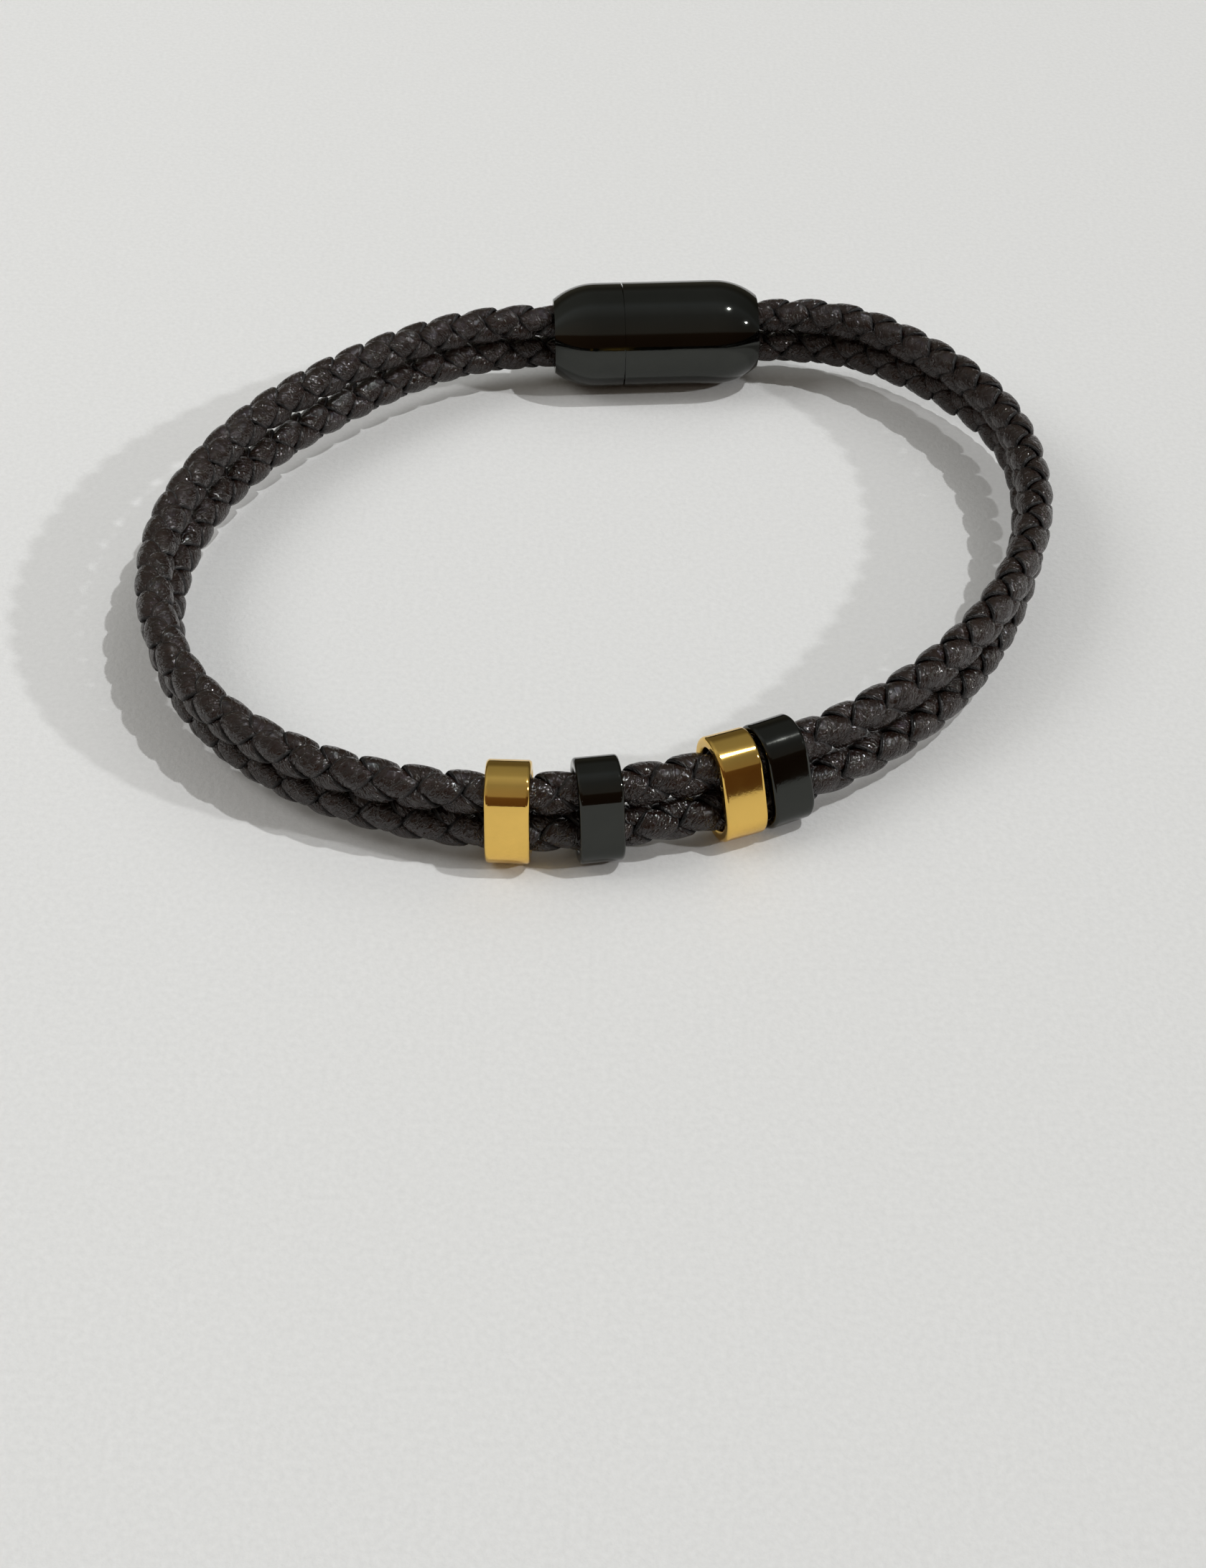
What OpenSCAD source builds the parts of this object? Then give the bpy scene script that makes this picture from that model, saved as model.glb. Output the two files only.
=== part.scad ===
// Braided leather bracelet: two round braided cords, one above the other, that pass
// together through four ring beads at the front and meet in a two-part clasp at the back.
// Millimetres, +Z up. The origin is the middle of the bracelet's footprint, on the
// surface that it lies on. -Y is the front, where the beads are.

/* [Cords] */
// Distance between the centres of the two cords
cord_spacing = 3.12; // [3.05:0.01:3.2]
// Full turns that each strand makes round its cord
braid_turns = 31; // [28:1:32]
// Direction in which the lozenges of the upper cord face, up from level
upper_facing = 45; // [30:1:60]
// Direction in which the lozenges of the lower cord face, up from level
lower_facing = 22; // [10:1:60]

/* [Ring beads] */
// Radius of a bead's round ends
bead_r = 2.5; // [2.45:0.01:2.6]
// Radius of the slot through a bead
bead_slot_r = 1.66; // [1.62:0.01:1.75]
// Width of a bead along the cords
bead_w = 3.3; // [2.8:0.1:3.4]
// Rounding of a bead's edges
bead_edge = 0.28; // [0.15:0.01:0.32]
// Radius of a bead's slightly bulging sides
bead_side_r = 30; // [20:1:60]

/* [Clasp] */
// Length of the closed clasp
clasp_l = 18.6; // [18:0.1:20]
// Radius of the barrel-shaped clasp
clasp_r = 4.7; // [4.7:0.01:4.9]
// Length of the drawn-in part at each end
clasp_end_l = 3.9; // [3.6:0.1:3.9]
// Radius of the arc that draws each end in
clasp_end_r = 6.2; // [6.1:0.1:7]
// Depth of the sockets that hold the cords
socket_depth = 3.3; // [3.2:0.1:3.4]
// Radius of the sockets' round ends
socket_r = 1.58; // [1.56:0.01:1.62]
// Length of the shorter half, from its end to the seam
plug_half_l = 6.2; // [6:0.1:7.5]
// Length of the plug between the halves
plug_l = 2.6; // [2:0.1:3]
// Radius of the plug's round ends
plug_r = 1.7; // [1.4:0.1:2]
// Gap between the two halves
seam = 0.12; // [0.1:0.01:0.2]
// Depth of the groove that shows between them
groove = 0.4; // [0.3:0.05:0.6]
// Length of the round step inside the groove, which centres the halves
step_l = 0.5; // [0.3:0.1:1]

/* [Hidden] */
$fn = 96;

// Colours
LEATHER = "#4c4039";
GOLD = "#c69c5c";
BLACK = "#23241f";

// The middle line between the cords is a closed smooth curve through the clasp and
// round the loop, anticlockwise seen from above. Columns of its control points: place
// across and deep, the lean of the pair of cords in degrees, top inwards, and how much
// further apart the cords are there.
X = 0;
Y = 1;
LEAN = 2;
SPREAD = 3;
// Shift that puts the origin in the middle of the footprint
centre_shift = [-0.22, -0.37];
clasp_place = [4.4, 31.4];
clasp_turn = 4.3;
clasp_lean = 0;
row_step = 9.4;
LOOP = [
    [-28.0,  17.5, -13, 0.40],
    [-33.7,   7.2, -11, 0.08],
    [-36.0,  -2.4, -18, 0.03],
    [-35.2, -13.4,  -4, 0.07],
    [-29.6, -23.9, -14, 0],
    [-19.3, -31.3,  -5, 0],
    [ -5.3, -33.9, 8.3, 0],
    [  7.8, -31.1, 24.5, 0],
    [ 21.1, -23.95, 23.5, 0],
    [ 30.3, -13.4,   4, 0.35],
    [ 35.2,  -0.7, -11, 0],
    [ 36.4,   7.3,   6, 0],
    [ 35.6,  20.0,  19, 0]
];
function clasp_row(k) = [
    clasp_place.x + k * row_step * cos(clasp_turn),
    clasp_place.y + k * row_step * sin(clasp_turn),
    clasp_lean,
    0
];
ROWS = [
    for (k = [0 : -1 : -2]) clasp_row(k),
    for (row = LOOP) row,
    for (k = [2, 1]) clasp_row(k)
];

// The loop rests on the beads in front and on the clasp behind, so the lower cord
// rises from its height in the beads to its height in the clasp between these two depths.
rise_from_y = -27;
rise_to_y = 29;

// Distance of each bead from the clasp's middle, along the middle line
PLACE_GOLD_LEFT = 105.45;
PLACE_BLACK_LEFT = 111.9;
PLACE_GOLD_RIGHT = 122.15;
PLACE_BLACK_RIGHT = 125.8;

// Section of a strand at each stage of its weave, sizes in mm. Columns: distance from
// the cord's axis, width, height outside that distance, depth inside it, and the
// outer face's width as a share of the whole.
OFF_AXIS = 0;
WIDTH = 1;
OUTER = 2;
INNER = 3;
CROWN = 4;
SINKING = [1.14, 1.6, 0.16, 0.19, 0.67];
STAGES = [
    [1.27, 1.55, 0.12, 0.09, 0.60],
    SINKING,
    [0.30, 1.2, 0.16, 0.22, 0.50],
    SINKING
];
STATIONS_PER_TURN = 8;
// First station of each of a cord's four strands; the first two climb, the others sink
FIRST_STATION = [0, 4, 2, 6];
CLIMBING = 2;
// Room between the sockets' floors and the strands' ends
end_room = 0.8;
strand_start = clasp_l / 2 - socket_depth + end_room;
// Stations by which the weave is shifted along each cord
upper_shift = 1;
lower_shift = 0;

// Smooth curve through four neighbouring rows, and its direction
function spline(a, b, c, d, t) =
    ((1 - t) ^ 3 * a + (3 * t ^ 3 - 6 * t ^ 2 + 4) * b
    + (-3 * t ^ 3 + 3 * t ^ 2 + 3 * t + 1) * c + t ^ 3 * d) / 6;
function spline_rate(a, b, c, d, t) =
    (-(1 - t) ^ 2 * a + (3 * t ^ 2 - 4 * t) * b
    + (-3 * t ^ 2 + 2 * t + 1) * c + t ^ 2 * d) / 2;
function row_at(i) = ROWS[(i + len(ROWS)) % len(ROWS)];
function band(u) = let (i = floor(u))
    spline(row_at(i - 1), row_at(i), row_at(i + 1), row_at(i + 2), u - i);
function band_rate(u) = let (i = floor(u))
    spline_rate(row_at(i - 1), row_at(i), row_at(i + 1), row_at(i + 2), u - i);

function unit(v) = v / norm(v);
function ease(t) = let (c = min(max(t, 0), 1)) c * c * (3 - 2 * c);
clasp_height = clasp_r - cord_spacing / 2;
function rest_height(y) =
    bead_r + (clasp_height - bead_r) * ease((y - rise_from_y) / (rise_to_y - rise_from_y));

// Point of the band at u: side is 1 on the upper cord, -1 on the lower, 0 between them
function band_point(u, side) = let (
        here = band(u),
        rate = band_rate(u),
        outwards = unit([rate.y, -rate.x]),
        half = (cord_spacing + here[SPREAD]) / 2,
        inwards = side * half * sin(here[LEAN]))
    [
        here[X] + centre_shift.x - inwards * outwards.x,
        here[Y] + centre_shift.y - inwards * outwards.y,
        rest_height(here[Y]) + (1 + side) * half * cos(here[LEAN])
    ];

// Table of distance along a line of the band, against u
SAMPLES_PER_ROW = 16;
SAMPLES = [for (i = [0 : len(ROWS) * SAMPLES_PER_ROW]) i / SAMPLES_PER_ROW];
function distances(points) = [
    for (i = 0, s = 0; i < len(points);
        s = s + norm(points[min(i + 1, len(points) - 1)] - points[i]), i = i + 1) s
];
function distance_table(side) = let (
        points = [for (u = SAMPLES) band_point(u, side)],
        along = distances(points))
    [for (i = [0 : len(SAMPLES) - 1]) [along[i], SAMPLES[i]]];
MIDDLE = distance_table(0);
UPPER = distance_table(1);
LOWER = distance_table(-1);
function length_of(table) = table[len(table) - 1][0];

// Point at a distance along a cord, at an angle up from outwards and a radius. The
// cord's direction is taken over a short stretch on both sides.
AHEAD = 0.02;
function round_cord(table, side, s, angle, r) = let (
        u = lookup(s, table),
        along = unit(band_point(u + AHEAD, side) - band_point(u - AHEAD, side)),
        outwards = unit([along.y, -along.x, 0]),
        upwards = cross(outwards, along))
    band_point(u, side) + r * (cos(angle) * outwards + sin(angle) * upwards);

// A strand's section: four corners about its centre, across and outwards
function section(stage) = let (
        half = STAGES[stage][WIDTH] / 2,
        crown = half * STAGES[stage][CROWN],
        outer = STAGES[stage][OUTER],
        inner = STAGES[stage][INNER])
    [[-crown, outer], [-half, -inner], [half, -inner], [crown, outer]];

// One strand of a cord. hand is 1 where it climbs outside the loop as it goes on, -1
// where it sinks, and start is its first stage of the weave.
module strand(table, side, facing, hand, start) {
    count = braid_turns * STATIONS_PER_TURN;
    turn = 360 / STATIONS_PER_TURN;
    step = (length_of(table) - 2 * strand_start) / count;
    top = hand > 0 ? facing : facing + 90;
    function stage(i) = (start + i + len(STAGES)) % len(STAGES);
    function at(i, r) =
        round_cord(table, side, strand_start + i * step, top + hand * turn * (start + i), r);
    function centre(i) = at(i, STAGES[stage(i)][OFF_AXIS]);
    points = [
        for (i = [0 : count]) let (
                here = centre(i),
                along = unit(centre(i + 1) - centre(i - 1)),
                ray = unit(here - at(i, 0)),
                out = unit(ray - along * (ray * along)),
                across = hand * cross(along, out))
            for (corner = section(stage(i)))
                here + corner.x * across + corner.y * out
    ];
    sides = [
        for (i = [0 : count - 1], j = [0 : 3]) let (
                a = 4 * i + j,
                b = 4 * i + (j + 1) % 4)
            for (face = [[a, b, a + 4], [b, b + 4, a + 4]]) face
    ];
    last = 4 * count;
    ends = [[0, 2, 1], [0, 3, 2], [last, last + 1, last + 2], [last, last + 2, last + 3]];
    faces = [
        for (face = concat(sides, ends))
            hand > 0 ? face : [face[2], face[1], face[0]]
    ];
    color(LEATHER) polyhedron(points, faces, convexity = 20);
}

module upper_strand(number) {
    hand = number > CLIMBING ? -1 : 1;
    strand(UPPER, 1, upper_facing, hand, upper_shift + FIRST_STATION[number - 1]);
}
module lower_strand(number) {
    hand = number > CLIMBING ? -1 : 1;
    strand(LOWER, -1, lower_facing, hand, lower_shift + FIRST_STATION[number - 1]);
}

// Places a piece on the pair of cords, with X along them and Z from lower to upper
module on_band(place) {
    u = lookup(place, MIDDLE);
    rate = band_rate(u);
    translate(band_point(u, 0))
        rotate([-band(u)[LEAN], 0, atan2(rate.y, rate.x)])
            children();
}

// Section of a bead's wall, with rounded edges: radius by width
module bead_wall() {
    wall = bead_r - bead_slot_r;
    translate([bead_slot_r + bead_edge, -bead_w / 2])
        square([wall - 2 * bead_edge, bead_w]);
    translate([bead_slot_r, bead_edge - bead_w / 2])
        square([wall, bead_w - 2 * bead_edge]);
    for (r = [bead_slot_r + bead_edge, bead_r - bead_edge], k = [-1, 1])
        translate([r, k * (bead_w / 2 - bead_edge)])
            circle(bead_edge);
}

// Ring bead: a wall round a slot, with round top and bottom and slightly bulging sides.
// The side arcs meet the end arcs where both have the same direction.
side_reach = bead_side_r - bead_r;
side_turn = asin(cord_spacing / 2 / side_reach);
module ring_bead(place, colour) {
    color(colour) on_band(place) rotate([0, 90, 0]) for (k = [-1, 1]) {
        translate([-k * cord_spacing / 2, 0])
            rotate(90 * k + side_turn)
                rotate_extrude(angle = 180 - 2 * side_turn)
                    bead_wall();
        translate([0, -k * side_reach * cos(side_turn)])
            rotate(90 * k - side_turn)
                rotate_extrude(angle = 2 * side_turn)
                    translate([side_reach, 0])
                        bead_wall();
    }
}

// Outline with straight sides between two half circles, one above the other
module slot_outline(r) {
    square([2 * r, cord_spacing], center = true);
    for (k = [-1, 1])
        translate([0, k * cord_spacing / 2])
            circle(r);
}

// Half section of the clasp, radius by length: straight in the middle, an arc at each end
straight = clasp_l / 2 - clasp_end_l;
module clasp_profile() {
    translate([0, -straight])
        square([clasp_r, 2 * straight]);
    for (k = [0, 1])
        mirror([0, k])
            intersection() {
                translate([clasp_r - clasp_end_r, straight])
                    circle(clasp_end_r);
                square([clasp_r, clasp_l / 2]);
            }
}

// The closed clasp without its hollows, with X along it
module clasp_form() {
    rotate([0, 90, 0])
        rotate_extrude()
            clasp_profile();
}

// A round piece along the clasp, from x to x + l
module clasp_disc(x, l, r) {
    translate([x, 0, 0])
        rotate([0, 90, 0])
            cylinder(h = l, r = r);
}

// A straight piece with the slot outline, from x to x + l
module slot_block(x, l, r) {
    translate([x, 0, 0])
        rotate([90, 0, 90])
            linear_extrude(l)
                slot_outline(r);
}

// Everything of the clasp from x to x + l
module clasp_cut(x, l) {
    translate([x, -clasp_l, -clasp_l])
        cube([l, 2 * clasp_l, 2 * clasp_l]);
}

// Shorter half, with the step and the plug, which start a little inside it
seam_x = plug_half_l - clasp_l / 2;
plug_root = 0.5;
module clasp_plug_half() {
    color(BLACK) on_clasp() {
        difference() {
            clasp_form();
            clasp_cut(seam_x, clasp_l);
            slot_block(-clasp_l, clasp_l / 2 + socket_depth, socket_r);
        }
        clasp_disc(seam_x - plug_root, plug_root + step_l, clasp_r - groove);
        slot_block(seam_x - plug_root, plug_root + plug_l, plug_r);
    }
}

// Longer half, with the recess for the step and the plug
module clasp_socket_half() {
    color(BLACK) on_clasp() difference() {
        clasp_form();
        clasp_cut(seam_x + seam - clasp_l, clasp_l);
        clasp_disc(seam_x, step_l + seam, clasp_r - groove + seam);
        slot_block(seam_x, plug_l + seam, plug_r + seam);
        slot_block(clasp_l / 2 - socket_depth, clasp_l, socket_r);
    }
}

// The clasp lies across the start of the band, its shorter half to the left
module on_clasp() {
    translate(band_point(0, 0))
        rotate([clasp_lean, 0, clasp_turn])
            children();
}

upper_strand(1);  // upper_strand_1
upper_strand(2);  // upper_strand_2
upper_strand(3);  // upper_strand_3
upper_strand(4);  // upper_strand_4
lower_strand(1);  // lower_strand_1
lower_strand(2);  // lower_strand_2
lower_strand(3);  // lower_strand_3
lower_strand(4);  // lower_strand_4
ring_bead(PLACE_GOLD_LEFT, GOLD);  // gold_ring_left
ring_bead(PLACE_BLACK_LEFT, BLACK);  // black_ring_left
ring_bead(PLACE_GOLD_RIGHT, GOLD);  // gold_ring_right
ring_bead(PLACE_BLACK_RIGHT, BLACK);  // black_ring_right
clasp_plug_half();
clasp_socket_half();
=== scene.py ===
"""Braided leather bracelet: two braided cords, four ring beads and a two-part clasp."""
import math

import bpy
import numpy as np
from mathutils import Matrix, Vector


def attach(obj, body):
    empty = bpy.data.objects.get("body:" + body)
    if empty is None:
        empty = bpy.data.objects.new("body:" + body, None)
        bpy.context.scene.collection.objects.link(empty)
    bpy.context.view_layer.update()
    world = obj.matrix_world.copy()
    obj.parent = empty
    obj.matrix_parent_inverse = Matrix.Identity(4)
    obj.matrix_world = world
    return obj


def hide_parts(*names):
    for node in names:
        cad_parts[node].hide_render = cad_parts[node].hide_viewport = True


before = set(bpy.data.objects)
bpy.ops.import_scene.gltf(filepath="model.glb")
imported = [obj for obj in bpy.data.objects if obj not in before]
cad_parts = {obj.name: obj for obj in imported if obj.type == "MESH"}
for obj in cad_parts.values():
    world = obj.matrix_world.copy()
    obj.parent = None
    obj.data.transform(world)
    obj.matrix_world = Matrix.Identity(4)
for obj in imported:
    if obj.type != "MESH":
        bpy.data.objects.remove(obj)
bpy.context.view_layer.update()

MM = 0.001

# The middle line between the two cords, in millimetres, as the solids have it. Columns:
# place across and deep, the lean of the pair of cords in degrees, top inwards, and how
# much further apart the cords are there.
CORD_SPACING = 3.12
BEAD_R = 2.5
CLASP_R = 4.7
CENTRE_SHIFT = (-0.22, -0.37)
CLASP_PLACE = (4.4, 31.4)
CLASP_TURN = 4.3
CLASP_LEAN = 0
ROW_STEP = 9.4
LOOP = [
    (-28.0, 17.5, -13, 0.40), (-33.7, 7.2, -11, 0.08), (-36.0, -2.4, -18, 0.03),
    (-35.2, -13.4, -4, 0.07), (-29.6, -23.9, -14, 0), (-19.3, -31.3, -5, 0),
    (-5.3, -33.9, 8.3, 0), (7.8, -31.1, 24.5, 0), (21.1, -23.95, 23.5, 0),
    (30.3, -13.4, 4, 0.35), (35.2, -0.7, -11, 0), (36.4, 7.3, 6, 0),
    (35.6, 20.0, 19, 0),
]
# The loop rests on the beads in front and on the clasp behind, so the lower cord rises
RISE_FROM_Y = -27.0
RISE_TO_Y = 29.0

# The braid: turns in a cord, stations in a turn, and stations from one lozenge of a strand
# to its next
BRAID_TURNS = 31
STATIONS_PER_TURN = 8
STAGES = 4
# Where the strands begin, in millimetres from the clasp's middle, and the station of each
STRAND_START = 6.8
FIRST_STATION = (0, 4, 2, 6)
# The first two strands of a cord wind one way round it and the others the other way
CLIMBING = 2
# Which side of the middle line a cord is on, the angle of its lozenges in degrees up from
# outwards, and the stations by which its weave is shifted
UPPER = {"side": 1, "facing": 45.0, "shift": 1}
LOWER = {"side": -1, "facing": 22.0, "shift": 0}
# A cord's direction is read between points this many rows before and after the place
AHEAD = 0.02


def clasp_row(k):
    turn = math.radians(CLASP_TURN)
    return (
        CLASP_PLACE[0] + k * ROW_STEP * math.cos(turn),
        CLASP_PLACE[1] + k * ROW_STEP * math.sin(turn),
        CLASP_LEAN,
        0,
    )


ROWS = np.array([clasp_row(k) for k in (0, -1, -2)] + LOOP + [clasp_row(k) for k in (2, 1)])


def band(u):
    """Place across and deep, and lean, on the closed smooth curve at u, which counts rows."""
    i = np.floor(u).astype(int)
    t = (u - i)[:, None]
    a, b, c, d = (ROWS[(i + k) % len(ROWS)] for k in (-1, 0, 1, 2))
    return (
        (1 - t) ** 3 * a
        + (3 * t**3 - 6 * t**2 + 4) * b
        + (-3 * t**3 + 3 * t**2 + 3 * t + 1) * c
        + t**3 * d
    ) / 6


def band_rate(u):
    i = np.floor(u).astype(int)
    t = (u - i)[:, None]
    a, b, c, d = (ROWS[(i + k) % len(ROWS)] for k in (-1, 0, 1, 2))
    return (
        -((1 - t) ** 2) * a
        + (3 * t**2 - 4 * t) * b
        + (-3 * t**2 + 2 * t + 1) * c
        + t**2 * d
    ) / 2


def unit(v):
    return v / np.linalg.norm(v, axis=-1, keepdims=True)


def rest_height(y):
    t = np.clip((y - RISE_FROM_Y) / (RISE_TO_Y - RISE_FROM_Y), 0, 1)
    in_clasp = CLASP_R - CORD_SPACING / 2
    return BEAD_R + (in_clasp - BEAD_R) * t * t * (3 - 2 * t)


def band_point(u, side):
    """Point of the band at u: side is 1 on the upper cord and -1 on the lower."""
    here = band(u)
    rate = band_rate(u)
    outwards = unit(np.column_stack([rate[:, 1], -rate[:, 0]]))
    lean = np.radians(here[:, 2])
    half = (CORD_SPACING + here[:, 3]) / 2
    place = here[:, :2] + CENTRE_SHIFT - (side * half * np.sin(lean))[:, None] * outwards
    height = rest_height(here[:, 1]) + (1 + side) * half * np.cos(lean)
    return np.column_stack([place, height])


class Cord:
    """A cord's route: the point at a distance along it, an angle up from outwards and a radius."""

    SAMPLES_PER_ROW = 16

    def __init__(self, side):
        self.side = side
        self.u = np.arange(len(ROWS) * self.SAMPLES_PER_ROW + 1) / self.SAMPLES_PER_ROW
        steps = np.linalg.norm(np.diff(band_point(self.u, side), axis=0), axis=1)
        self.along = np.concatenate([[0], np.cumsum(steps)])
        self.length = self.along[-1]

    def axes(self, s):
        u = np.interp(s, self.along, self.u)
        t = unit(band_point(u + AHEAD, self.side) - band_point(u - AHEAD, self.side))
        outwards = unit(np.column_stack([t[:, 1], -t[:, 0], 0 * t[:, 0]]))
        return band_point(u, self.side), outwards, np.cross(outwards, t)

    def point(self, s, angle, radius):
        centre, outwards, upwards = self.axes(s)
        c = (radius * np.cos(angle))[:, None]
        d = (radius * np.sin(angle))[:, None]
        return centre + c * outwards + d * upwards


def table_curve(x, columns, values):
    """Smooth curve through a short table, flat at both ends."""
    columns = np.array(columns, float)
    values = np.array(values, float)
    slope = np.gradient(values, columns)
    slope[0] = slope[-1] = 0
    i = np.clip(np.searchsorted(columns, x, side="right") - 1, 0, len(columns) - 2)
    h = columns[i + 1] - columns[i]
    t = (x - columns[i]) / h
    return (
        (2 * t**3 - 3 * t**2 + 1) * values[i]
        + (t**3 - 2 * t**2 + t) * h * slope[i]
        + (-2 * t**3 + 3 * t**2) * values[i + 1]
        + (t**3 - t**2) * h * slope[i + 1]
    )


# A strand's flat strip at each part of its weave, in millimetres: how many stations it
# is from the middle of its lozenge, the height of its outer face over the cord's axis,
# and its width. It is on top up to about station 1 and under its neighbour at 2.
WEAVE_AT = (0.0, 0.5, 0.95, 1.35, 2.0)
WEAVE_R = (1.59, 1.53, 1.27, 1.00, 0.86)
WEAVE_W = (2.80, 2.70, 2.35, 1.60, 1.20)
ON_TOP_UNTIL = 1.2
# The cord is drawn in by this much where it enters the clasp, and free past the second place
DRAWN_IN = 0.12
DRAWN_IN_FROM = 9.0
DRAWN_IN_TO = 14.0
# Its thickness, how far its edges lie lower by a gentle curve and by a sharp rounding, how
# far it leans to one side, and the share by which its edges are thinner
STRIP_T = 0.34
EDGE_DROP = 0.10
EDGE_ROUND = 0.20
EDGE_ROUND_POWER = 11
EDGE_LEAN = 0.07
EDGE_THINNER = 0.45
INNER_HALF = 0.86
# The radius at which the strips cross, which sets their slant
WRAP_R = 1.3
# Slow changes of height, width and surface, and the stations after which their waves repeat
HEIGHT_WANDER = 0.02
HEIGHT_PERIODS = (5.3, 9.1)
WIDTH_WANDER = 0.04
WIDTH_PERIODS = (7.3, 12.7)
DENT = 0.02
DENT_PERIODS = (0.9, 1.7)
DENT_SLANT = 3
RINGS_PER_STATION = 6
OUTER_POINTS = 15
INNER_POINTS = 7


def wander(x, seed, periods):
    """Slow smooth change between about -1 and 1, the same at each run."""
    draw = np.random.default_rng(seed)
    total = np.zeros_like(x)
    for period in periods:
        total += np.sin(2 * np.pi * (x / period + draw.random())) / len(periods)
    return total


def strip_profile():
    """The strip's section: each point's place across it, from -1 to 1, and its depth, which is
    0 on the outer face and 1 on the inner."""
    outer = np.sin(np.linspace(-1, 1, OUTER_POINTS) * math.pi / 2)
    inner = np.linspace(INNER_HALF, -INNER_HALF, INNER_POINTS)
    across = np.concatenate([outer, inner])
    depth = np.concatenate([np.zeros(OUTER_POINTS), np.ones(INNER_POINTS)])
    return across, depth


def strand_points(cord, facing, hand, start, seed):
    """Rings of points along one strand, with the place along and across the strip of each."""
    count = BRAID_TURNS * STATIONS_PER_TURN
    step = (cord.length - 2 * STRAND_START) / count
    turn = math.radians(360 / STATIONS_PER_TURN)
    top = math.radians(facing if hand > 0 else facing + 90)
    q = start + np.linspace(0, count, count * RINGS_PER_STATION + 1)
    from_middle = np.abs((q + 2) % STAGES - 2)
    radius = table_curve(from_middle, WEAVE_AT, WEAVE_R)
    width = table_curve(from_middle, WEAVE_AT, WEAVE_W)
    on_top = np.clip(1 - from_middle / ON_TOP_UNTIL, 0, 1)
    radius = radius + HEIGHT_WANDER * wander(q, seed, HEIGHT_PERIODS) * on_top
    to_end = np.minimum(q - start, start + count - q) * step + STRAND_START
    free = np.clip((to_end - DRAWN_IN_FROM) / (DRAWN_IN_TO - DRAWN_IN_FROM), 0, 1)
    radius = radius - DRAWN_IN * (1 - free * free * (3 - 2 * free))
    width = width * (1 + WIDTH_WANDER * wander(q, seed + 1, WIDTH_PERIODS))

    slant = math.hypot(step, WRAP_R * turn)
    across, depth = strip_profile()
    rings, places = [], []
    for a, d in zip(across, depth):
        v = a * width / 2
        s = STRAND_START + (q - start) * step + v * WRAP_R * turn / slant
        angle = top + hand * (turn * q - v * step / slant / WRAP_R)
        rounding = EDGE_ROUND * np.abs(a) ** EDGE_ROUND_POWER
        drop = EDGE_DROP * a * a + rounding + EDGE_LEAN * a * on_top
        thick = STRIP_T * (1 - EDGE_THINNER * a * a)
        dent = DENT * wander(q + DENT_SLANT * a, seed + 2, DENT_PERIODS) * on_top
        rings.append(cord.point(s, angle, radius - drop - d * thick + (1 - d) * dent))
        places.append(np.column_stack([q * slant, v, np.full_like(q, seed)]))
    return np.stack(rings, axis=1), np.stack(places, axis=1)


def ring_faces(rings, points):
    """Quads between closed rings of points, and a face at each end."""
    i, j = np.meshgrid(np.arange(rings - 1), np.arange(points), indexing="ij")
    a = i * points + j
    b = i * points + (j + 1) % points
    quads = np.stack([a, b, b + points, a + points], axis=-1).reshape(-1, 4).tolist()
    last = (rings - 1) * points
    ends = [list(range(points))[::-1], [last + k for k in range(points)]]
    return quads + ends


def make_mesh(name, points, faces, material, smooth=True):
    mesh = bpy.data.meshes.new(name)
    mesh.from_pydata((points * MM).tolist(), [], faces)
    mesh.update()
    if smooth:
        mesh.polygons.foreach_set("use_smooth", [True] * len(mesh.polygons))
    mesh.materials.append(material)
    piece = bpy.data.objects.new(name, mesh)
    bpy.context.scene.collection.objects.link(piece)
    return piece


def strand(cord_name, cord, layout, number, material):
    """One leather strand of a cord, in the place of its solid."""
    hand = 1 if number <= CLIMBING else -1
    start = layout["shift"] + FIRST_STATION[number - 1]
    seed = 10 * number + (5 if layout["side"] > 0 else 0)
    rings, places = strand_points(cord, layout["facing"], hand, start, seed)
    across, _ = strip_profile()
    faces = ring_faces(rings.shape[0], rings.shape[1])
    if hand > 0:
        faces = [face[::-1] for face in faces]
    name = f"{cord_name}_strand_{number}"
    piece = make_mesh("braided_" + name, rings.reshape(-1, 3), faces, material)
    # The leather's patterns follow the strip, and its edges are painted dark as shade in the seams
    # between strands
    strip = piece.data.attributes.new("strip", "FLOAT_VECTOR", "POINT")
    strip.data.foreach_set("vector", places.reshape(-1))
    edge = piece.data.attributes.new("edge", "FLOAT", "POINT")
    edge.data.foreach_set("value", np.tile(np.abs(across), len(rings)))
    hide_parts(name)
    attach(piece, "root")
    return piece


# Sockets of a colour mix: its share, its two colours and its result
MIX_SHARE = 0
MIX_FROM = 6
MIX_TO = 7
MIX_OUT = 2


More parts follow.
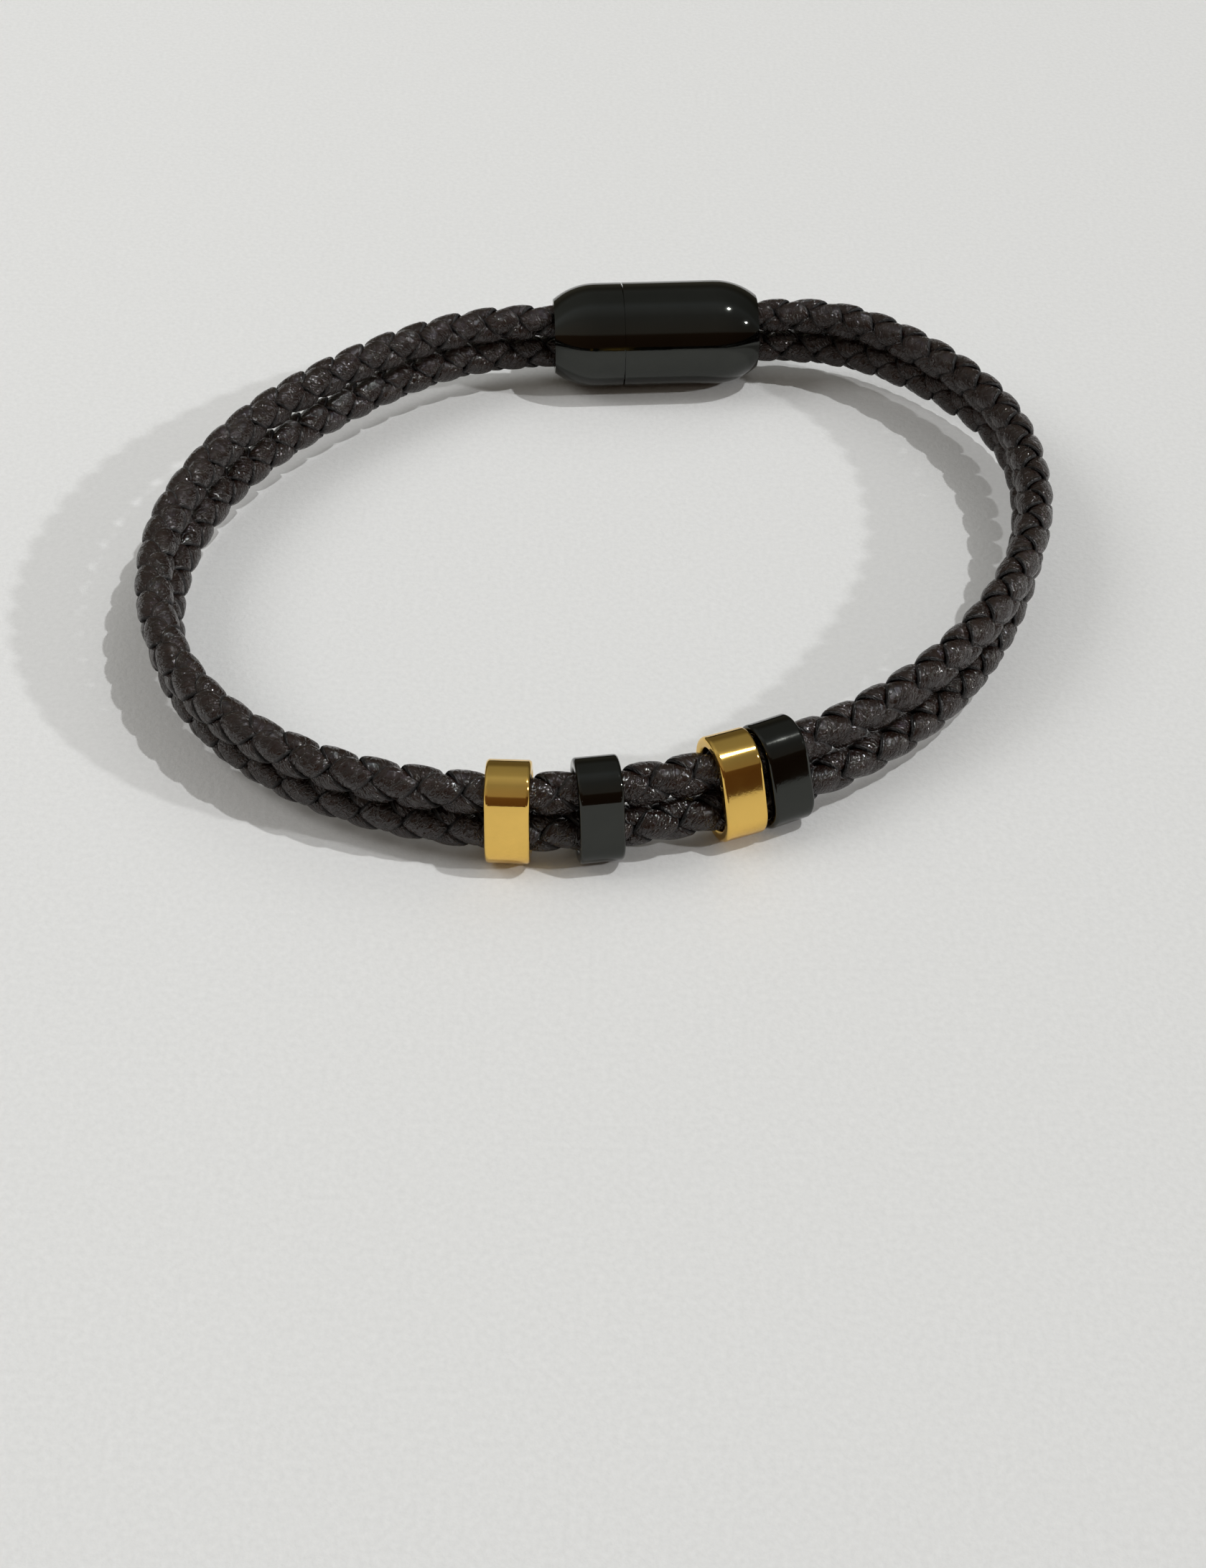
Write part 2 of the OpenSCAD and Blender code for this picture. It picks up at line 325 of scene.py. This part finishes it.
class Nodes:
    """The nodes of a material or of the world, and short ways to add and join them."""

    def __init__(self, owner, shader="ShaderNodeBsdfPrincipled", output="ShaderNodeOutputMaterial"):
        owner.use_nodes = True
        self.material = owner
        self.tree = owner.node_tree
        self.tree.nodes.clear()
        self.out = self.add(output)
        self.shader = self.add(shader)
        self.join(self.shader, 0, self.out, "Surface")

    def add(self, kind, **values):
        node = self.tree.nodes.new(kind)
        for name, value in values.items():
            if name in node.inputs:
                node.inputs[name].default_value = value
            else:
                setattr(node, name, value)
        return node

    def join(self, a, output, b, socket):
        self.tree.links.new(a.outputs[output], b.inputs[socket])

    def set(self, **values):
        for name, value in values.items():
            self.shader.inputs[name.replace("_", " ")].default_value = value

    def mapped(self, source, output, scale):
        node = self.add("ShaderNodeMapping")
        node.inputs["Scale"].default_value = scale
        self.join(source, output, node, "Vector")
        return node

    def noise(self, source, output, scale, detail, rough=0.5, distortion=0.0):
        """Noise whose pattern repeats about scale times a unit of the source."""
        node = self.add("ShaderNodeTexNoise", Scale=1.0, Detail=detail, Roughness=rough)
        node.inputs["Distortion"].default_value = distortion
        self.join(self.mapped(source, output, scale), "Vector", node, "Vector")
        return node

    def range(self, source, output, low, high, to_low, to_high):
        node = self.add("ShaderNodeMapRange")
        node.inputs["From Min"].default_value = low
        node.inputs["From Max"].default_value = high
        node.inputs["To Min"].default_value = to_low
        node.inputs["To Max"].default_value = to_high
        self.join(source, output, node, "Value")
        return node

    def ramp(self, source, output, stops):
        node = self.add("ShaderNodeValToRGB")
        elements = node.color_ramp.elements
        while len(elements) < len(stops):
            elements.new(0.5)
        for element, (place, colour) in zip(elements, stops):
            element.position = place
            element.color = (*colour, 1)
        self.join(source, output, node, "Fac")
        return node

    def mix(self, source, output, colour, share):
        """The source's colour, going over to another where share is 1."""
        node = self.add("ShaderNodeMix", data_type="RGBA")
        self.join(share, "Result", node, MIX_SHARE)
        self.join(source, output, node, MIX_FROM)
        node.inputs[MIX_TO].default_value = (*colour, 1)
        return node

    def math(self, operation, *terms):
        """Arithmetic on numbers and on pairs of a node and its output."""
        node = self.add("ShaderNodeMath", operation=operation)
        for socket, term in zip(node.inputs, terms):
            if isinstance(term, (int, float)):
                socket.default_value = term
            else:
                self.tree.links.new(term[0].outputs[term[1]], socket)
        return (node, "Value")

    def edge_line(self, split, wobble):
        """1 on a thin wandering line that runs along the strip near one of its edges."""
        shift = self.math("MULTIPLY", (wobble, "Fac"), EDGE_LINE_WOBBLE)
        place = self.math("ADD", (split, "Y"), shift)
        away = self.math("ABSOLUTE", self.math("SUBTRACT", place, EDGE_LINE_AT))
        return self.range(*away, EDGE_LINE_CORE, EDGE_LINE_HALF, 1.0, 0.0)

    def creases(self, vector, bend):
        """1 on a net of thin wandering creases."""
        place = self.add("ShaderNodeVectorMath", operation="MULTIPLY_ADD")
        self.join(bend, "Color", place, 0)
        place.inputs[1].default_value = CREASE_BEND
        self.join(vector, "Vector", place, 2)
        net = self.add("ShaderNodeTexVoronoi", feature="DISTANCE_TO_EDGE")
        self.join(place, "Vector", net, "Vector")
        net.inputs["Scale"].default_value = 1.0
        return self.range(net, "Distance", 0.0, CREASE_HALF, 1.0, 0.0)

    def bump(self, source, output, distance, before=None):
        node = self.add("ShaderNodeBump", Distance=distance)
        self.join(source, output, node, "Height")
        if before:
            self.join(before, "Normal", node, "Normal")
        return node


# Leather: how often its patterns repeat in a millimetre along and across a strip, and how
# high they stand or how deep they lie in millimetres
PATCH_RATE = (0.7, 0.9, 1.0)
FOLD_RATE = (0.45, 1.9, 1.0)
FOLD_HEIGHT = 0.17
CRINKLE_RATE = (1.6, 2.7, 1.0)
CRINKLE_HEIGHT = 0.22
CREASE_RATE = (0.9, 1.7, 1.0)
CREASE_HEIGHT = -0.035
GRAIN_RATE = (3.0, 4.2, 1.0)
GRAIN_HEIGHT = 0.018
# A line along one side of the strip: its place across in millimetres, the half widths where
# it is full and where it ends, and how far it wanders
EDGE_LINE_AT = -1.05
EDGE_LINE_CORE = 0.02
EDGE_LINE_HALF = 0.09
EDGE_LINE_WOBBLE = 0.35
EDGE_LINE_HEIGHT = -0.07
# Half width of a crease, and how far the crinkles bend it
CREASE_HALF = 0.05
CREASE_BEND = (0.5, 0.5, 0.0)
# Share of the strip's half width where the painted shade of the seams between strands starts and is
# full
SEAM_FROM = 0.80
SEAM_TO = 0.96
LEATHER_TONES = [(0.32, (0.0085, 0.0034, 0.0022)), (0.70, (0.0155, 0.0068, 0.0046))]
EDGE_LINE_TONE = (0.003, 0.0015, 0.0015)
CREASE_TONE = (0.030, 0.025, 0.022)
# Painted shade of the seams between strands, laid on the strip's edges
SEAM_SHADE_TONE = (0.0008, 0.0005, 0.0005)
SEAM_ROUGH = 0.9
LEATHER_ROUGH = (0.07, 0.17)
LEATHER_IOR = 1.53
# The part of a noise that most of its values lie in
MOST_OF_CRINKLE = (0.35, 0.65)


def leather():
    """Dark brown coated leather: edges painted dark as shade in the seams between strands, a line
    near one of them, folds along the strip, thin creases, and crinkles that catch the light."""
    n = Nodes(bpy.data.materials.new("dark_leather"))
    strip = n.add("ShaderNodeAttribute", attribute_name="strip")
    split = n.add("ShaderNodeSeparateXYZ")
    n.join(strip, "Vector", split, "Vector")
    patches = n.noise(strip, "Vector", PATCH_RATE, 2.0)
    folds = n.noise(strip, "Vector", FOLD_RATE, 2.0, distortion=0.4)
    crinkles = n.noise(strip, "Vector", CRINKLE_RATE, 2.0, distortion=1.6)
    creases = n.creases(n.mapped(strip, "Vector", CREASE_RATE), crinkles)
    grain = n.noise(strip, "Vector", GRAIN_RATE, 1.0)
    line = n.edge_line(split, patches)
    edge = n.add("ShaderNodeAttribute", attribute_name="edge")
    # Painted shade along the strip's edges, where it meets its neighbours in the seams
    painted_seam_shade = n.range(edge, "Fac", SEAM_FROM, SEAM_TO, 0.0, 1.0)

    tone = n.ramp(patches, "Fac", LEATHER_TONES)
    tone = n.mix(tone, "Color", EDGE_LINE_TONE, line)
    tone = n.mix(tone, MIX_OUT, CREASE_TONE, creases)
    tone = n.mix(tone, MIX_OUT, SEAM_SHADE_TONE, painted_seam_shade)
    n.join(tone, MIX_OUT, n.shader, "Base Color")
    gloss = n.range(crinkles, "Fac", *MOST_OF_CRINKLE, *LEATHER_ROUGH)
    matt = n.math("MULTIPLY", (painted_seam_shade, "Result"), SEAM_ROUGH)
    n.join(*n.math("MAXIMUM", (gloss, "Result"), matt), n.shader, "Roughness")

    relief = n.bump(folds, "Fac", FOLD_HEIGHT * MM)
    relief = n.bump(line, "Result", EDGE_LINE_HEIGHT * MM, relief)
    relief = n.bump(creases, "Result", CREASE_HEIGHT * MM, relief)
    relief = n.bump(crinkles, "Fac", CRINKLE_HEIGHT * MM, relief)
    relief = n.bump(grain, "Fac", GRAIN_HEIGHT * MM, relief)
    n.join(relief, "Normal", n.shader, "Normal")
    n.set(IOR=LEATHER_IOR)
    return n.material


# Metal: how often its polishing marks and its wear repeat in a metre, the marks' height in
# millimetres, and how much darker worn places are
MARK_RATE = (4200.0, 4200.0, 4200.0)
MARK_HEIGHT = 0.0015
WEAR_RATE = (420.0, 420.0, 420.0)
WORN_SHARE = 0.93
GOLD = (0.88, 0.57, 0.145)
GOLD_ROUGH = (0.05, 0.10)
BLACK = (0.050, 0.052, 0.048)
BLACK_ROUGH = (0.045, 0.09)
MOST_OF_NOISE = (0.3, 0.7)


def metal(name, colour, rough):
    """Polished metal with faint polishing marks and a little wear."""
    n = Nodes(bpy.data.materials.new(name))
    place = n.add("ShaderNodeTexCoord")
    marks = n.noise(place, "Object", MARK_RATE, 2.0, rough=0.6)
    wear = n.noise(place, "Object", WEAR_RATE, 3.0, rough=0.6)
    worn = tuple(WORN_SHARE * c for c in colour)
    tone = n.ramp(wear, "Fac", list(zip(MOST_OF_NOISE, (worn, colour))))
    n.join(tone, "Color", n.shader, "Base Color")
    n.join(n.range(wear, "Fac", *MOST_OF_NOISE, *rough), "Result", n.shader, "Roughness")
    n.join(n.bump(marks, "Fac", MARK_HEIGHT * MM), "Normal", n.shader, "Normal")
    n.set(Metallic=1.0)
    return n.material


TOOTH_RATE = (2200.0, 2200.0, 2200.0)
TOOTH_HEIGHT = 0.06
PAPER_TONES = [(0.3, (0.750, 0.758, 0.757)), (0.7, (0.800, 0.808, 0.807))]


def paper():
    """Pale matt floor with a faint tooth."""
    n = Nodes(bpy.data.materials.new("pale_floor"))
    place = n.add("ShaderNodeTexCoord")
    tooth = n.noise(place, "Object", TOOTH_RATE, 3.0, rough=0.6)
    n.join(n.ramp(tooth, "Fac", PAPER_TONES), "Color", n.shader, "Base Color")
    n.join(n.bump(tooth, "Fac", TOOTH_HEIGHT * MM), "Normal", n.shader, "Normal")
    n.set(Roughness=0.75, Specular_IOR_Level=0.2)
    return n.material


# The camera looks from the front at this point of the floor, from this far, at this angle above
# the floor and turned this much about the line of sight, in millimetres and degrees
TARGET_X = -0.02
TARGET_Y = -25.77
DISTANCE = 180.0
ELEVATION = 42.1
ROLL = 0.77
# Its focal length and the picture's height are in pixels, and its sensor in millimetres
FOCAL_LENGTH = 3311
PICTURE_HEIGHT = 2184
SENSOR = 36.0
NEAREST = 0.01
FARTHEST = 10.0
FLOOR_HALF = 0.9


def camera():
    """The camera at the photograph's place and angle."""
    e = math.radians(ELEVATION)
    data = bpy.data.cameras.new("camera")
    data.sensor_width = SENSOR
    data.lens = FOCAL_LENGTH / PICTURE_HEIGHT * SENSOR
    data.clip_start = NEAREST
    data.clip_end = FARTHEST
    cam = bpy.data.objects.new("camera", data)
    y = TARGET_Y - DISTANCE * math.cos(e)
    place = Vector((TARGET_X, y, DISTANCE * math.sin(e))) * MM
    raised = Matrix.Rotation(math.pi / 2 - e, 4, "X")
    rolled = Matrix.Rotation(math.radians(ROLL), 4, "Z")
    cam.matrix_world = Matrix.Translation(place) @ (raised @ rolled)
    bpy.context.scene.collection.objects.link(cam)
    bpy.context.scene.camera = cam


def floor():
    """A plain square floor, half a side of it being FLOOR_HALF metres."""
    corners = [(-1, -1, 0), (1, -1, 0), (1, 1, 0), (-1, 1, 0)]
    points = np.array(corners) * FLOOR_HALF / MM
    piece = make_mesh("floor", points, [[0, 1, 2, 3]], paper(), smooth=False)


# Far lamps: name, direction towards it, strength, width in degrees, and whether it lights
# matt surfaces and shows in glossy ones. The key lamp's highlights come from glint, which
# stands in a slightly different place.
SUNS = [
    ("key", (0.461, 0.027, 0.887), 1.03, 1.2, True, False),
    ("glint", (0.40, -0.03, 0.915), 2.6, 1.2, False, True),
    ("side", (0.84, -0.22, 0.49), 0.92, 2.5, True, True),
]
# Square soft lamps: name, direction towards it, power and colour
SOFTBOXES = [
    ("window", (-0.72, 0.05, 0.70), 1.28, (1.0, 0.99, 0.98)),
    ("back_window", (0.25, 0.66, 0.70), 0.35, (1.0, 1.0, 1.0)),
]
SOFTBOX_DISTANCE = 0.7
SOFTBOX_SIDE = 0.35


def sun(name, towards, strength, spread, diffuse, glossy):
    data = bpy.data.lights.new(name, "SUN")
    data.energy = strength
    data.angle = math.radians(spread)
    lamp = bpy.data.objects.new(name, data)
    lamp.visible_diffuse = diffuse
    lamp.visible_glossy = glossy
    lamp.rotation_euler = Vector(towards).to_track_quat("Z", "Y").to_euler()
    bpy.context.scene.collection.objects.link(lamp)


def softbox(name, towards, power, colour):
    data = bpy.data.lights.new(name, "AREA")
    data.shape = "RECTANGLE"
    data.size = SOFTBOX_SIDE
    data.size_y = SOFTBOX_SIDE
    data.energy = power
    data.color = colour
    lamp = bpy.data.objects.new(name, data)
    direction = Vector(towards).normalized()
    lamp.location = direction * SOFTBOX_DISTANCE
    lamp.rotation_euler = direction.to_track_quat("Z", "Y").to_euler()
    # It lights the room but isn't seen in the polished pieces as a hard square
    lamp.visible_glossy = False
    bpy.context.scene.collection.objects.link(lamp)


# Colours of the room by place on the arc from the horizon behind, 0, over the ceiling, 0.5,
# to the horizon in front, 1
ROOM_TONES = [
    (0.00, (0.12, 0.11, 0.08)), (0.05, (0.12, 0.11, 0.085)), (0.12, (0.25, 0.25, 0.23)),
    (0.35, (0.30, 0.30, 0.28)), (0.45, (0.41, 0.42, 0.42)), (0.54, (0.38, 0.38, 0.37)),
    (0.68, (0.28, 0.27, 0.25)), (0.92, (0.29, 0.25, 0.21)), (0.94, (0.12, 0.07, 0.04)),
    (1.00, (0.10, 0.055, 0.03)),
]
# The wall on the left is brighter than the one on the right
LEFT_WALL = 1.3
RIGHT_WALL = 0.6
BACKDROP_TONE = (0.64, 0.65, 0.64)


def surroundings():
    """Plain studio room: a broad bright ceiling, dimmer behind, and dark brown low in front.
    Past the floor's edge the picture shows a plain pale backdrop instead."""
    world = bpy.data.worlds.new("studio")
    bpy.context.scene.world = world
    n = Nodes(world, "ShaderNodeBackground", "ShaderNodeOutputWorld")
    place = n.add("ShaderNodeTexCoord")
    # The direction without its part across the room: its y runs from 1 behind to -1 in front
    level = n.mapped(place, "Generated", (0.0, 1.0, 1.0))
    upright = n.add("ShaderNodeVectorMath", operation="NORMALIZE")
    n.join(level, "Vector", upright, 0)
    facing = n.add("ShaderNodeSeparateXYZ")
    n.join(upright, "Vector", facing, "Vector")
    arc = n.range(facing, "Y", 1.0, -1.0, 0.0, 1.0)
    n.join(n.ramp(arc, "Result", ROOM_TONES), "Color", n.shader, "Color")
    split = n.add("ShaderNodeSeparateXYZ")
    n.join(place, "Generated", split, "Vector")
    strength = n.range(split, "X", -1.0, 1.0, LEFT_WALL, RIGHT_WALL)
    n.join(strength, "Result", n.shader, "Strength")

    backdrop = n.add("ShaderNodeBackground", Color=(*BACKDROP_TONE, 1), Strength=1.0)
    seen = n.add("ShaderNodeLightPath")
    both = n.add("ShaderNodeMixShader")
    n.join(seen, "Is Camera Ray", both, 0)
    n.join(n.shader, 0, both, 1)
    n.join(backdrop, 0, both, 2)
    n.join(both, 0, n.out, "Surface")


def dress(names, material):
    """Gives solid pieces of the frame their finish."""
    for name in names:
        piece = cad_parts[name]
        piece.data.materials.clear()
        piece.data.materials.append(material)


def build():
    camera()
    hide = leather()
    for cord_name, layout in (("upper", UPPER), ("lower", LOWER)):
        cord = Cord(layout["side"])
        for number in (1, 2, 3, 4):
            strand(cord_name, cord, layout, number, hide)
    gold = metal("gold", GOLD, GOLD_ROUGH)
    black = metal("black_metal", BLACK, BLACK_ROUGH)
    dress(("gold_ring_left", "gold_ring_right"), gold)
    dress(("black_ring_left", "black_ring_right"), black)
    dress(("clasp_plug_half", "clasp_socket_half"), black)
    floor()
    surroundings()
    for lamp in SUNS:
        sun(*lamp)
    for lamp in SOFTBOXES:
        softbox(*lamp)
    bpy.context.scene.view_settings.view_transform = "Standard"


build()
